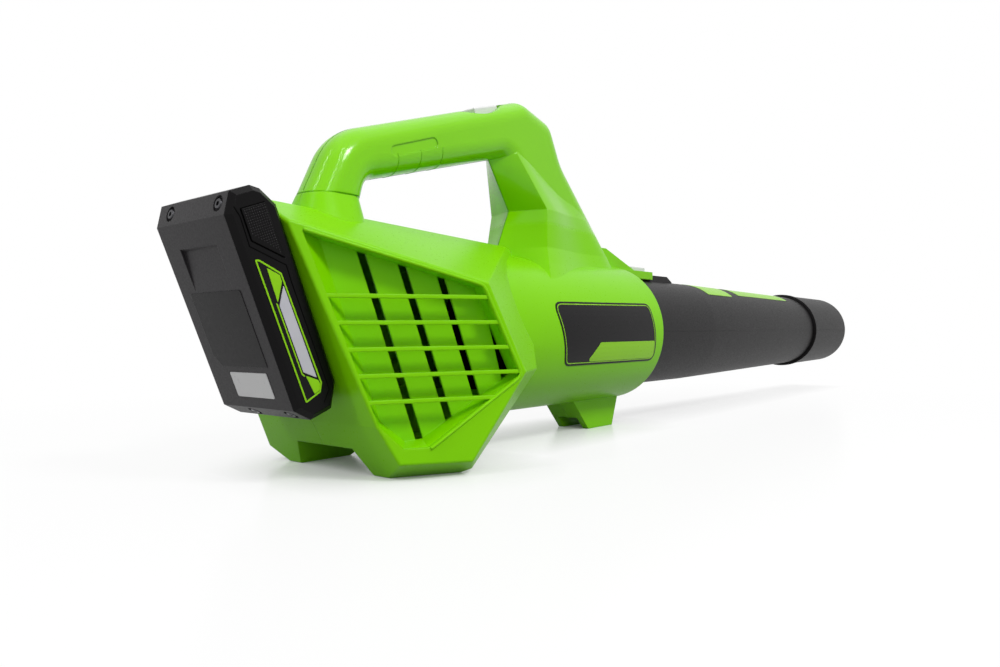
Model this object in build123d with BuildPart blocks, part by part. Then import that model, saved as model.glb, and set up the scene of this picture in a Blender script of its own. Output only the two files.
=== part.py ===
from build123d import *
import os
from math import cos, radians, sin, tan

os.makedirs("parts", exist_ok=True)

# Driving dimensions in millimetres, X forward, Y to the left, Z up
rear_foot_x = -387.95
axis_z = 82.2
running_fit = 0.08
curve_gap = 0.3

# Housing: hood, duct and feet, with X measured from the rear corner of the side feet
wall = 2.8
hood_half_rear = 64.5
hood_half_rear_x = -5.0
panel_splay = 24.0
hood_corner_x = 67.0
hood_corner_z = 59.0
hood_shoulder_x = 45.0
hood_shoulder_z = 112.0
hood_toe_x = 36.0
hood_toe_z = 10.0
hood_front_x = 176.0
hood_front_half = 34.8
hood_edge = 2.0
ridge_z = 161.9
roof_fall = 0.55
roof_drop = 0.0508
crown_z = 154.0
belly_z = 18.0
arch_z = 16.0
arch_half_low = 36.0
arch_half_high = 27.0
foot_length = 40.0
foot_half_rear = 48.6
foot_half_front = 68.7
foot_crease_z = 9.7
heel_x = -16.2
heel_z = 30.0
toe_rise_x = 66.0
toe_rise_z = 22.7

# Vents in the splayed side panels
bar_count = 5
bar_top_z = 103.4
bar_pitch = 14.6
bar_height = 2.4
vent_outline = [(-52.5, 137.0), (41.5, 109.5), (63.5, 57.5), (11.0, 18.5), (-3.0, 18.5), (-16.0, 32.0)]
slat_outline = [(-42.5, 134.5), (41.0, 109.5), (62.5, 58.0), (10.5, 22.0), (1.0, 21.0), (-12.0, 33.0)]
louvre_deep = 9.2
louvre_thick = 2.0
louvre_lap = 2.5
slot_width = 4.5
slot_pitch = 21.7
slot_slant = 17.3
slot_count = 3
slot_x = -6.4
slot_z = 76.0
open_x = 52.5
open_slant = 13.8

# Fan duct and tube socket
duct_r = 59.5
duct_wall = 2.8
duct_start_x = 90.0
rim_x = 304.0
socket_depth = 40.0
stop_thick = 6.0
stop_height = 3.1

# Front foot under the duct
front_foot_x = 252.0
front_foot_length = 37.0
front_foot_half = 15.5
front_foot_z = 40.0
front_foot_lean = 0.88
foot_notch_half = 10.0
foot_notch_z = 9.5

# Handle loop: outline corners with their bends, and the neck that flares into the duct
grip_half = 16.0
grip_round = 14.0
grip_corners = [
    (-24.0, 92.0), (-24.5, 162.0), (-2.9, 205.7), (172.0, 262.3),
    (208.0, 251.5), (223.0, 221.0), (286.0, 157.0), (286.0, 92.0),
]
grip_bends = [17.0, 30.0, 44.0, 20.0, 18.0, 40.0, 17.0, 17.0]
loop_corners = [(6.0, 136.0), (19.0, 178.9), (152.0, 215.3), (184.0, 180.0), (172.0, 136.0)]
loop_bends = [4.0, 12.0, 10.0, 14.0, 4.0]
neck_wall = 3.2
neck_mid = 0.6
neck_waist = 0.66
# Each level of the neck: height, rear tip, rear edge, half width at that edge, front nose
neck_levels = [
    (118.0, 150.0, 160.0, 46.5, 300.0),
    (135.0, 151.0, 170.0, 37.0, 299.0),
    (147.5, 153.5, 176.1, 31.0, 291.0),
    (177.0, 167.2, 179.9, 28.5, 263.0),
    (218.0, 140.9, 159.4, 15.9, 221.0),
    (250.0, 165.0, 170.0, 8.0, 203.0),
]
collar_z = 166.0
collar_root_z = 140.0
collar_x = -4.1
collar_long = 36.8
collar_root_x = -8.0
collar_root_long = 50.0
collar_root_wide = 58.0
collar_root_round = 24.0
groove_high = 0.8
groove_deep = 0.7
grip_slot_x = 54.4
grip_slot_z = 204.6
grip_slot_length = 43.0
grip_slot_high = 7.0
grip_slot_slope = 18.5
slot_sink = 0.7
channel_half = 10.0
channel_high = 12.0
channel_x = 88.0
channel_z = 216.0
channel_length = 150.0

# Power switch
switch_x = 134.0
switch_z = 249.0
switch_slope = 16.7
switch_length = 26.0
switch_width = 14.0
switch_travel = 7.0
switch_rise = 1.3
switch_sink = 6.5
switch_edge = 1.5
saddle_x = 114.7
saddle_z = 294.4
saddle_r = 53.6
stem_length = 11.0
stem_width = 8.0
stem_depth = 8.0
module_length = 28.0
module_width = 14.0
module_high = 12.0

# Tube latch on top of the duct
bridge_end_x = 367.0
bridge_half = 14.0
bridge_rise = 7.7
bridge_floor = 1.6
ridge_half = 12.5
ridge_rear_x = 262.0
ridge_peak_x = 287.0
ridge_peak_z = 156.5
ridge_end_x = 336.0
button_x = 352.0
button_length = 24.0
button_width = 14.0
button_rise = 4.6
button_thick = 5.2
button_edge = 1.2
spring_r = 3.5
spring_wall = 0.8

# Blower tube and nozzle
tube_r = 49.5
tube_end_r = 43.5
tube_wall = 2.6
tube_taper_x = 430.0
tube_end_x = 766.0
key_x = 371.0
key_flat = 34.0
key_length = 44.0
key_half = 9.0
key_rise = 5.3
nozzle_x = 736.0
nozzle_tip_x = 868.2
nozzle_wall = 2.2
nozzle_lip = 1.0
ring_rise = 1.2
ring_length = 6.0

# Fan: sleeve, vanes, motor, rotor
sleeve_wall = 3.4
sleeve_length = 108.0
hub_r = 20.0
hub_wall = 2.4
hub_length = 60.0
hub_setback = 3.0
vane_count = 7
vane_thick = 2.4
vane_length = 34.0
vane_slant = 24.0
motor_r = 17.3
motor_length = 50.0
shaft_r = 2.5
shaft_tail = 34.0
blade_count = 9
blade_chord = 26.0
blade_thick = 2.2
blade_root_angle = 40.0
blade_tip_angle = 62.0
tip_gap = 0.6
rotor_length = 22.0
rotor_gap = 8.0
cone_length = 45.0
cone_tip_r = 6.0

# Battery pack, measured on its own slanted plane
pack_tilt = 21.2
pack_corner_x = -90.3
pack_corner_z = 136.7
pack_half = 38.2
pack_deep = 30.3
pack_low = 110.5
pack_high = 16.0
pack_outline = [
    (0.0, 5.6), (0.0, -101.6), (8.0, -pack_low), (22.5, -pack_low), (pack_deep, -98.0),
    (pack_deep, 3.0), (24.0, 13.0), (19.0, pack_high), (7.0, pack_high),
]
pack_part = 9.0
pack_wall = 2.0
pack_rear_wall = 3.8
pack_edge = 3.0
scoop_half = 19.0
scoop_up = -8.0
scoop_long = 24.0
scoop_deep = 1.9
pocket_r = 4.3
pocket_deep = 1.3
pocket_up = 11.2
pocket_low = -106.4
pocket_spots_high = [-27.1, 22.4]
pocket_spots_low = [-24.5, 10.9]
cell_count = 6
cell_r = 9.1
cell_length = 65.0
first_cell_up = 0.6
board_thick = 1.6
board_length = 80.0
rail_y = 22.0
rail_length = 77.0
rail_half = 2.2
rail_high = 4.0
rail_gap = 0.3
pack_button_outline = [(8.0, 6.0), (22.3, 5.9), (23.0, -23.6), (8.0, -10.4)]
pack_button_rise = 0.9
pack_button_flange = 1.4
terminal_half = 15.0
terminal_high = 14.0
terminal_up = -84.0
terminal_deep = 14.0
contact_count = 4
contact_pitch = 5.5
contact_thick = 1.2
contact_high = 7.0
contact_sink = 1.0
screw_head_r = 3.2
screw_r = 1.6
screw_head = 3.0
screw_seat = 8.0
screw_bite = 10.0
screw_spots = [(5.0, 187.0), (62.0, 196.3), (118.0, 212.4), (292.0, 146.0), (270.0, 15.0)]

# Planes shared by the pieces
side = Plane(origin=(rear_foot_x, 0, 0), x_dir=(1, 0, 0), z_dir=(0, -1, 0))
duct_axis = Axis((rear_foot_x, 0, axis_z), (1, 0, 0))
across = Vector(cos(radians(panel_splay)), -sin(radians(panel_splay)), 0)
outward = Vector(-sin(radians(panel_splay)), -cos(radians(panel_splay)), 0)
panel = Plane(origin=(rear_foot_x + hood_half_rear_x, -hood_half_rear, 0), x_dir=across, z_dir=outward)
pack_forward = Vector(cos(radians(pack_tilt)), 0, sin(radians(pack_tilt)))
pack_up = Vector(-sin(radians(pack_tilt)), 0, cos(radians(pack_tilt)))
pack_origin = Vector(rear_foot_x + pack_corner_x, 0, pack_corner_z)
pack_side = Plane(origin=pack_origin, x_dir=pack_forward, z_dir=(0, -1, 0))


def panel_half(x):
    """Half width of the hood at the side panel, x from the rear foot corner."""
    return hood_half_rear + tan(radians(panel_splay)) * (x - hood_half_rear_x)


def hood_point(x, z):
    """Point of the right side panel at a height."""
    return Vector(rear_foot_x + x, -panel_half(x), z)


def panel_points(outline):
    """Corners on the side panel, from X and Z on the hood."""
    stretch = 1.0 / cos(radians(panel_splay))
    return [((x - hood_half_rear_x) * stretch, z) for x, z in outline]


def pack_plane(deep):
    """Plane across the pack at a depth from its rear face, facing forward."""
    return Plane(origin=pack_origin + pack_forward * deep, x_dir=(0, 1, 0), z_dir=pack_forward)


def pack_slope(start, end, up):
    """Plane on a slanted end of the pack, at a height between two corners of its outline."""
    share = (up - start[1]) / (end[1] - start[1])
    deep = start[0] + share * (end[0] - start[0])
    along = pack_forward * (end[0] - start[0]) + pack_up * (end[1] - start[1])
    origin = pack_origin + pack_forward * deep + pack_up * up
    return Plane(origin=origin, x_dir=(0, 1, 0), z_dir=Vector(0, 1, 0).cross(along))


def duct_plane(x, up=0.0):
    """Plane across the duct, facing forward, or a level plane above its axis."""
    origin = (rear_foot_x + x, 0, axis_z + up)
    if up:
        return Plane(origin=origin, x_dir=(1, 0, 0), z_dir=(0, 0, 1))
    return Plane(origin=origin, x_dir=(0, 1, 0), z_dir=(1, 0, 0))


corner = hood_point(hood_corner_x, hood_corner_z)
shoulder = hood_point(hood_shoulder_x, hood_shoulder_z)
toe = hood_point(hood_toe_x, hood_toe_z)
inward = Vector(rear_foot_x + hood_front_x, -hood_front_half, hood_corner_z) - corner
foot_rear = Vector(rear_foot_x, -foot_half_rear, 0)
foot_front = Vector(rear_foot_x + foot_length, -foot_half_front, 0)
crease = Vector(rear_foot_x + hood_half_rear_x, -hood_half_rear, foot_crease_z)
seat_plane = pack_plane(pack_deep)
heel = Vector(rear_foot_x + heel_x, 0, heel_z)
heel_normal = Vector(-heel_z, 0, heel_x)
rise_normal = Vector(toe_rise_z, 0, foot_length - toe_rise_x)


def hood_solid(inset, floor_z):
    """Right half of the hood: a block trimmed by its flat faces, each moved in by the inset."""
    faces = [
        (seat_plane.origin, -pack_forward),
        (panel.origin, outward),
        (Vector(rear_foot_x, 0, ridge_z), Vector(roof_drop, -roof_fall, 1)),
        (Vector(rear_foot_x, 0, crown_z), Vector(roof_drop, 0, 1)),
        (corner, (corner - shoulder).cross(inward)),
        (corner, (toe - corner).cross(inward)),
        (foot_rear, (foot_front - foot_rear).cross(crease - foot_rear)),
        (heel, heel_normal),
        (Vector(rear_foot_x + foot_length, 0, 0), rise_normal),
    ]
    length = hood_front_x - pack_corner_x
    with BuildPart() as hood:
        with Locations((rear_foot_x + hood_front_x - inset, 0, floor_z)):
            Box(length, foot_half_front * 2, ridge_z, align=(Align.MAX, Align.MAX, Align.MIN))
        for point, normal in faces:
            unit = normal.normalized()
            split(bisect_by=Plane(origin=point - unit * inset, z_dir=unit), keep=Keep.BOTTOM)
    return hood.part


with BuildSketch(side) as grip_outline:
    with BuildLine():
        FilletPolyline(*grip_corners, radius=grip_bends, close=True)
    make_face()

with BuildSketch(side) as loop_outline:
    with BuildLine():
        FilletPolyline(*loop_corners, radius=loop_bends, close=True)
    make_face()


def neck_solid(inset):
    """Right half of the neck: level sections with a ridged rear and a round nose, moved in by the inset."""
    with BuildPart() as neck:
        for level_z, tip_x, edge_x, edge_half, nose_x in neck_levels:
            tip = (tip_x + inset, 0)
            edge = (edge_x + inset, inset - edge_half)
            nose = (nose_x - inset, 0)
            waist = (edge[0] + neck_mid * (nose[0] - edge[0]), edge[1] * neck_waist)
            with BuildSketch(Plane(origin=(rear_foot_x, 0, level_z))):
                with BuildLine():
                    Polyline(nose, tip, edge)
                    Spline(edge, waist, nose, tangents=[(1, 0), (0, 1)])
                make_face()
        loft(ruled=True)
    return neck.part


stop_x = rim_x - socket_depth
sleeve_front_x = stop_x - stop_thick
duct_bore = duct_r - duct_wall
bridge_low_z = axis_z + tube_r + curve_gap
bridge_top_z = axis_z + tube_r + bridge_rise
switch_plane = Plane(
    origin=(rear_foot_x + switch_x, 0, switch_z),
    x_dir=(cos(radians(switch_slope)), 0, sin(radians(switch_slope))),
    z_dir=(-sin(radians(switch_slope)), 0, cos(radians(switch_slope))),
)
recess_floor = switch_plane.offset(-switch_sink)
module_top = switch_plane.offset(-switch_sink - stem_depth - curve_gap)
latch_plane = Plane(origin=(rear_foot_x + button_x, 0, bridge_low_z + bridge_floor))
hood_block = hood_solid(0.0, 0.0)
hood_outer = hood_block.fillet(hood_edge, hood_block.edges().filter_by(lambda e: e.center().Y < -curve_gap))
hood_inner = hood_solid(wall, belly_z)

with BuildPart() as collar:
    with BuildSketch(Plane(origin=(rear_foot_x + collar_root_x, 0, collar_root_z))):
        RectangleRounded(collar_root_long, collar_root_wide, collar_root_round)
    with BuildSketch(Plane(origin=(rear_foot_x + collar_x, 0, collar_z))):
        RectangleRounded(collar_long, grip_half * 2, grip_round)
    loft()

with BuildPart() as housing_half:
    extrude(grip_outline.sketch, amount=grip_half)
    extrude(loop_outline.sketch, amount=grip_half, mode=Mode.SUBTRACT)
    fillet(housing_half.faces().filter_by(Axis.Y).sort_by(Axis.Y)[0].edges(), grip_round)
    add(neck_solid(0.0))
    add(neck_solid(neck_wall), mode=Mode.SUBTRACT)
    with BuildSketch(side):
        Polygon(
            (front_foot_x, 0), (front_foot_x + front_foot_length, 0), (rim_x, front_foot_z),
            (front_foot_x - front_foot_lean * front_foot_z, front_foot_z), align=None,
        )
    extrude(amount=front_foot_half)
    # Joint line round the rear post, with the collar below it
    with BuildSketch(Plane(origin=(rear_foot_x + collar_x, 0, collar_z))):
        Rectangle(collar_long * 2, grip_half * 4)
        RectangleRounded(
            collar_long - groove_deep * 2, (grip_half - groove_deep) * 2, grip_round - groove_deep,
            mode=Mode.SUBTRACT,
        )
    extrude(amount=groove_high, mode=Mode.SUBTRACT)
    add(collar.part)
    # Shallow slot on the side of the grip
    with BuildSketch(side.offset(grip_half - slot_sink)):
        with Locations((grip_slot_x, grip_slot_z)):
            SlotOverall(grip_slot_length, grip_slot_high, rotation=grip_slot_slope)
    extrude(amount=slot_sink * 2, mode=Mode.SUBTRACT)
    add(hood_outer)
    with BuildSketch(side):
        with Locations((duct_start_x, axis_z)):
            Rectangle(rim_x - duct_start_x, duct_r, align=Align.MIN)
    revolve(axis=duct_axis)
    with Locations((rear_foot_x + rim_x - socket_depth, 0, bridge_low_z)):
        Box(
            bridge_end_x - rim_x + socket_depth, bridge_half * 2, bridge_top_z - bridge_low_z,
            align=(Align.MIN, Align.CENTER, Align.MIN),
        )
    # Ridge that falls from the neck to the latch
    with BuildSketch(side):
        Polygon(
            (ridge_rear_x, bridge_low_z), (ridge_rear_x, ridge_peak_z), (ridge_peak_x, ridge_peak_z),
            (ridge_end_x, bridge_top_z), (ridge_end_x, bridge_low_z), align=None,
        )
    extrude(amount=ridge_half)
    # Hollow of the hood, bore of the duct and socket of the tube
    add(hood_inner, mode=Mode.SUBTRACT)
    with BuildSketch(side):
        with BuildLine():
            Polyline(
                (duct_start_x - wall, axis_z), (duct_start_x - wall, axis_z + duct_bore),
                (sleeve_front_x, axis_z + duct_bore), (sleeve_front_x, axis_z + tube_r - stop_height),
                (stop_x, axis_z + tube_r - stop_height), (stop_x, axis_z + tube_r + running_fit),
                (rim_x, axis_z + tube_r + running_fit), (rim_x, axis_z), close=True,
            )
        make_face()
    revolve(axis=duct_axis, mode=Mode.SUBTRACT)
    # Vent openings between the bars
    with BuildSketch(panel):
        Polygon(*panel_points(vent_outline), align=None)
        for index in range(bar_count):
            with Locations((0, bar_top_z - index * bar_pitch)):
                Rectangle(hood_front_x * 2, bar_height, mode=Mode.SUBTRACT)
    extrude(amount=-wall * 2, mode=Mode.SUBTRACT)
    # Arches between the feet
    with BuildSketch(Plane.YZ.offset(rear_foot_x + pack_corner_x)):
        Polygon(
            (-arch_half_low, 0), (-arch_half_high, arch_z), (arch_half_high, arch_z), (arch_half_low, 0),
            align=None,
        )
    extrude(amount=hood_front_x - pack_corner_x, mode=Mode.SUBTRACT)
    with BuildSketch(Plane.YZ.offset(rear_foot_x + front_foot_x - front_foot_length)):
        Rectangle(foot_notch_half * 2, foot_notch_z * 2)
    extrude(amount=front_foot_length * 3, mode=Mode.SUBTRACT)
    # Rail that guides the pack, and the terminal window
    with BuildSketch(seat_plane):
        with Locations((-rail_y, -pack_low / 2)):
            Rectangle(rail_half * 2, rail_length)
    extrude(amount=-rail_high)
    with BuildSketch(seat_plane):
        with Locations((0, terminal_up)):
            Rectangle(terminal_half * 2, terminal_high)
    extrude(amount=wall * 2, mode=Mode.SUBTRACT)
    # Switch recess, stem slot and module pocket
    with BuildSketch(recess_floor):
        with Locations((switch_travel / 2, 0)):
            Rectangle(switch_length + switch_travel + curve_gap * 2, switch_width + curve_gap * 2)
    extrude(amount=switch_sink + switch_rise * 2, mode=Mode.SUBTRACT)
    with BuildSketch(recess_floor):
        with Locations((switch_travel / 2, 0)):
            Rectangle(stem_length + switch_travel + curve_gap * 2, stem_width + curve_gap * 2)
    extrude(amount=-stem_depth - curve_gap, mode=Mode.SUBTRACT)
    with BuildSketch(module_top):
        Rectangle(module_length, module_width)
    extrude(amount=-module_high, mode=Mode.SUBTRACT)
    # Saddle in the top of the grip, where the switch stands
    with BuildSketch(side):
        with Locations((saddle_x, saddle_z)):
            Circle(saddle_r)
    extrude(amount=grip_half, mode=Mode.SUBTRACT)
    # Wire passages in the handle
    with BuildSketch(side):
        with Locations((channel_x, channel_z)):
            Rectangle(channel_length, channel_high, rotation=switch_slope)
    extrude(amount=channel_half, mode=Mode.SUBTRACT)
    # Latch pocket for the release button
    with BuildSketch(latch_plane):
        Rectangle(button_length + curve_gap * 2, button_width + curve_gap * 2)
    extrude(amount=bridge_top_z, mode=Mode.SUBTRACT)
    split(bisect_by=Plane.XZ, keep=Keep.TOP)

with BuildPart() as right_shell:
    add(housing_half.part)
    with BuildSketch(side):
        with Locations(*screw_spots):
            Circle(screw_r + curve_gap)
    extrude(amount=screw_bite + curve_gap, mode=Mode.SUBTRACT)
right_shell.part.label = "right_shell"
export_step(right_shell.part, "parts/right_shell.step")

with BuildPart() as left_shell:
    mirror(housing_half.part, about=Plane.XZ)
    with BuildSketch(side):
        with Locations(*screw_spots):
            Circle(screw_r + curve_gap)
    extrude(amount=-duct_r, mode=Mode.SUBTRACT)
    with BuildSketch(side.offset(-screw_seat)):
        with Locations(*screw_spots):
            Circle(screw_head_r + curve_gap)
    extrude(amount=-duct_r, mode=Mode.SUBTRACT)
left_shell.part.label = "left_shell"
export_step(left_shell.part, "parts/left_shell.step")

with BuildPart() as housing_screws:
    with BuildSketch(side.offset(screw_bite)):
        with Locations(*screw_spots):
            Circle(screw_r)
    extrude(amount=-screw_bite - screw_seat)
    with BuildSketch(side.offset(-screw_seat)):
        with Locations(*screw_spots):
            Circle(screw_head_r)
    extrude(amount=-screw_head)
housing_screws.part.label = "housing_screws"
export_step(housing_screws.part, "parts/housing_screws.step")

# Louvre trays behind the vent bars: slanted walls down to a slotted plate
tray_front = panel.offset(-wall)
tray_back = panel.offset(-wall - louvre_deep)
slot_step = slot_pitch * cos(radians(panel_splay))
slot_spots = [(slot_x + index * slot_step, slot_z) for index in range(slot_count)]
slot_long = hood_corner_z * 4
with BuildPart() as right_louvre:
    for plane, outline in ((tray_front, vent_outline), (tray_back.offset(-louvre_thick), slat_outline)):
        with BuildSketch(plane):
            Polygon(*panel_points(outline), align=None)
            offset(amount=louvre_thick, kind=Kind.INTERSECTION, mode=Mode.REPLACE)
    loft(ruled=True)
    with BuildSketch(tray_front):
        Polygon(*panel_points(vent_outline), align=None)
        offset(amount=louvre_lap, kind=Kind.INTERSECTION, mode=Mode.REPLACE)
    extrude(amount=-louvre_thick)
    for plane, outline in ((tray_front, vent_outline), (tray_back, slat_outline)):
        with BuildSketch(plane):
            Polygon(*panel_points(outline), align=None)
    loft(ruled=True, mode=Mode.SUBTRACT)
    with BuildSketch(tray_back):
        Polygon(*panel_points(slat_outline), align=None)
        with BuildSketch(mode=Mode.INTERSECT):
            with Locations(*panel_points(slot_spots)):
                Rectangle(slot_width, slot_long, rotation=slot_slant)
            with Locations(*panel_points([(open_x, slot_z)])):
                Rectangle(hood_front_x, slot_long, rotation=open_slant, align=(Align.MIN, Align.CENTER))
    extrude(amount=-louvre_thick, mode=Mode.SUBTRACT)
    add(hood_inner, mode=Mode.INTERSECT)
right_louvre.part.label = "right_louvre"
export_step(right_louvre.part, "parts/right_louvre.step")

with BuildPart() as left_louvre:
    mirror(right_louvre.part, about=Plane.XZ)
left_louvre.part.label = "left_louvre"
export_step(left_louvre.part, "parts/left_louvre.step")

# Power switch and its module
with BuildPart() as power_switch:
    with BuildSketch(recess_floor):
        Rectangle(switch_length, switch_width)
    extrude(amount=switch_sink + switch_rise)
    fillet(power_switch.edges().group_by(Axis(switch_plane.origin, switch_plane.z_dir))[-1], switch_edge)
    with BuildSketch(recess_floor):
        Rectangle(stem_length, stem_width)
    extrude(amount=-stem_depth)
power_switch.part.label = "power_switch"
export_step(power_switch.part, "parts/power_switch.step")

with BuildPart() as switch_module:
    with BuildSketch(module_top):
        Rectangle(module_length, module_width)
    extrude(amount=-module_high)
switch_module.part.label = "switch_module"
export_step(switch_module.part, "parts/switch_module.step")

# Release button and its spring
spring_high = bridge_top_z + button_rise - button_thick - bridge_low_z - bridge_floor
with BuildPart() as release_button:
    with BuildSketch(latch_plane.offset(spring_high)):
        Rectangle(button_length, button_width)
    extrude(amount=button_thick)
    fillet(release_button.edges().group_by(Axis.Z)[-1], button_edge)
release_button.part.label = "release_button"
export_step(release_button.part, "parts/release_button.step")

with BuildPart() as release_spring:
    with BuildSketch(latch_plane):
        Circle(spring_r)
        Circle(spring_r - spring_wall, mode=Mode.SUBTRACT)
    extrude(amount=spring_high)
release_spring.part.label = "release_spring"
export_step(release_spring.part, "parts/release_spring.step")

# Blower tube with its latch key, and the nozzle over its end
key_low_z = axis_z + tube_r - tube_wall / 2
key_top_z = axis_z + tube_r + key_rise
with BuildPart() as blower_tube:
    with BuildSketch(side):
        Polygon(
            (stop_x, axis_z + tube_r - tube_wall), (stop_x, axis_z + tube_r),
            (tube_taper_x, axis_z + tube_r), (tube_end_x, axis_z + tube_end_r),
            (tube_end_x, axis_z + tube_end_r - tube_wall), (tube_taper_x, axis_z + tube_r - tube_wall),
            align=None,
        )
    revolve(axis=duct_axis)
    with BuildSketch(side):
        Polygon(
            (key_x, key_low_z), (key_x, key_top_z), (key_x + key_flat, key_top_z),
            (key_x + key_length, axis_z + tube_r), (key_x + key_length, key_low_z), align=None,
        )
    extrude(amount=key_half, both=True)
blower_tube.part.label = "blower_tube"
export_step(blower_tube.part, "parts/blower_tube.step")

tube_slope = (tube_r - tube_end_r) / (tube_end_x - tube_taper_x)
nozzle_seat_z = axis_z + tube_end_r + tube_slope * (tube_end_x - nozzle_x) + running_fit
nozzle_bore_z = axis_z + tube_end_r - nozzle_wall
with BuildPart() as nozzle:
    with BuildSketch(side):
        Polygon(
            (nozzle_x, nozzle_seat_z), (nozzle_x, nozzle_seat_z + nozzle_wall + ring_rise),
            (nozzle_x + ring_length, nozzle_seat_z + nozzle_wall + ring_rise),
            (nozzle_x + ring_length, nozzle_seat_z + nozzle_wall),
            (nozzle_tip_x, axis_z + tube_end_r + nozzle_lip), (nozzle_tip_x, nozzle_bore_z),
            (tube_end_x, nozzle_bore_z), (tube_end_x, axis_z + tube_end_r + running_fit), align=None,
        )
    revolve(axis=duct_axis)
nozzle.part.label = "nozzle"
export_step(nozzle.part, "parts/nozzle.step")

# Fan sleeve with stator vanes and motor cup
sleeve_r = duct_bore - curve_gap
sleeve_bore = sleeve_r - sleeve_wall
hub_front_x = sleeve_front_x - hub_setback
hub_rear_x = hub_front_x - hub_length
motor_front_x = hub_front_x - hub_wall
motor_rear_x = motor_front_x - motor_length
rotor_front_x = hub_rear_x - rotor_gap
rotor_mid_x = rotor_front_x - rotor_length / 2
with BuildPart() as fan_sleeve:
    with BuildSketch(side):
        with Locations((sleeve_front_x, axis_z + sleeve_bore)):
            Rectangle(sleeve_length, sleeve_wall, align=(Align.MAX, Align.MIN))
    revolve(axis=duct_axis)
    with BuildSketch(side):
        with Locations((hub_rear_x, axis_z)):
            Rectangle(hub_length, hub_r, align=Align.MIN)
    revolve(axis=duct_axis)
    with Locations(duct_plane(hub_front_x - vane_length / 2)):
        with PolarLocations((hub_r + sleeve_bore) / 2, vane_count):
            Box(sleeve_bore - hub_r + hub_wall, vane_thick, vane_length, rotation=(vane_slant, 0, 0))
    with BuildSketch(side):
        with Locations((hub_rear_x, axis_z)):
            Rectangle(hub_length - hub_wall, motor_r + curve_gap, align=Align.MIN)
    revolve(axis=duct_axis, mode=Mode.SUBTRACT)
fan_sleeve.part.label = "fan_sleeve"
export_step(fan_sleeve.part, "parts/fan_sleeve.step")

with BuildPart() as motor:
    with BuildSketch(side):
        with Locations((motor_rear_x, axis_z)):
            Rectangle(motor_length, motor_r, align=Align.MIN)
    revolve(axis=duct_axis)
    with BuildSketch(side):
        with Locations((motor_rear_x, axis_z)):
            Rectangle(shaft_tail + curve_gap, shaft_r + running_fit, align=Align.MIN)
    revolve(axis=duct_axis, mode=Mode.SUBTRACT)
motor.part.label = "motor"
export_step(motor.part, "parts/motor.step")

with BuildPart() as rotor_shaft:
    with BuildSketch(side):
        with Locations((rotor_front_x - rotor_length, axis_z)):
            Rectangle(motor_rear_x + shaft_tail - rotor_front_x + rotor_length, shaft_r, align=Align.MIN)
    revolve(axis=duct_axis)
rotor_shaft.part.label = "rotor_shaft"
export_step(rotor_shaft.part, "parts/rotor_shaft.step")

blade_tip_r = sleeve_bore - tip_gap
with BuildPart() as blade:
    for radius, angle in ((hub_r - hub_wall, blade_root_angle), (blade_tip_r + tip_gap, blade_tip_angle)):
        with BuildSketch(duct_plane(rotor_mid_x, radius)):
            SlotOverall(blade_chord, blade_thick, rotation=angle)
    loft()
    with BuildSketch(duct_plane(rotor_mid_x)):
        Circle(blade_tip_r)
    extrude(amount=rotor_length, both=True, mode=Mode.INTERSECT)

with BuildPart() as impeller:
    with BuildSketch(side):
        with Locations((rotor_front_x - rotor_length, axis_z)):
            Rectangle(rotor_length, hub_r, align=Align.MIN)
    revolve(axis=duct_axis)
    for index in range(blade_count):
        add(blade.part.rotate(duct_axis, index * 360.0 / blade_count))
    with BuildSketch(side):
        with Locations((rotor_front_x - rotor_length, axis_z)):
            Rectangle(rotor_length, shaft_r, align=Align.MIN)
    revolve(axis=duct_axis, mode=Mode.SUBTRACT)
impeller.part.label = "impeller"
export_step(impeller.part, "parts/impeller.step")

with BuildPart() as tail_cone:
    with BuildSketch(side):
        Polygon(
            (hub_front_x, axis_z), (hub_front_x, axis_z + hub_r),
            (hub_front_x + cone_length, axis_z + cone_tip_r), (hub_front_x + cone_length, axis_z), align=None,
        )
    revolve(axis=duct_axis)
tail_cone.part.label = "tail_cone"
export_step(tail_cone.part, "parts/tail_cone.step")

# Controller board on the hood floor and the terminal block behind the pack
with BuildPart() as controller_board:
    with Locations((rear_foot_x + foot_length / 2, 0, belly_z)):
        Box(foot_length, arch_half_high * 2, board_thick, align=(Align.CENTER, Align.CENTER, Align.MIN))
controller_board.part.label = "controller_board"
export_step(controller_board.part, "parts/controller_board.step")

with BuildPart() as terminal_block:
    with BuildSketch(seat_plane):
        with Locations((0, terminal_up)):
            Rectangle(terminal_half * 2 - curve_gap * 2, terminal_high - curve_gap * 2)
    extrude(amount=terminal_deep)
    with BuildSketch(seat_plane.offset(wall)):
        with Locations((0, terminal_up)):
            Rectangle(terminal_half * 2 + wall * 2, terminal_high + wall * 2)
    extrude(amount=wall)
terminal_block.part.label = "terminal_block"
export_step(terminal_block.part, "parts/terminal_block.step")

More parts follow.
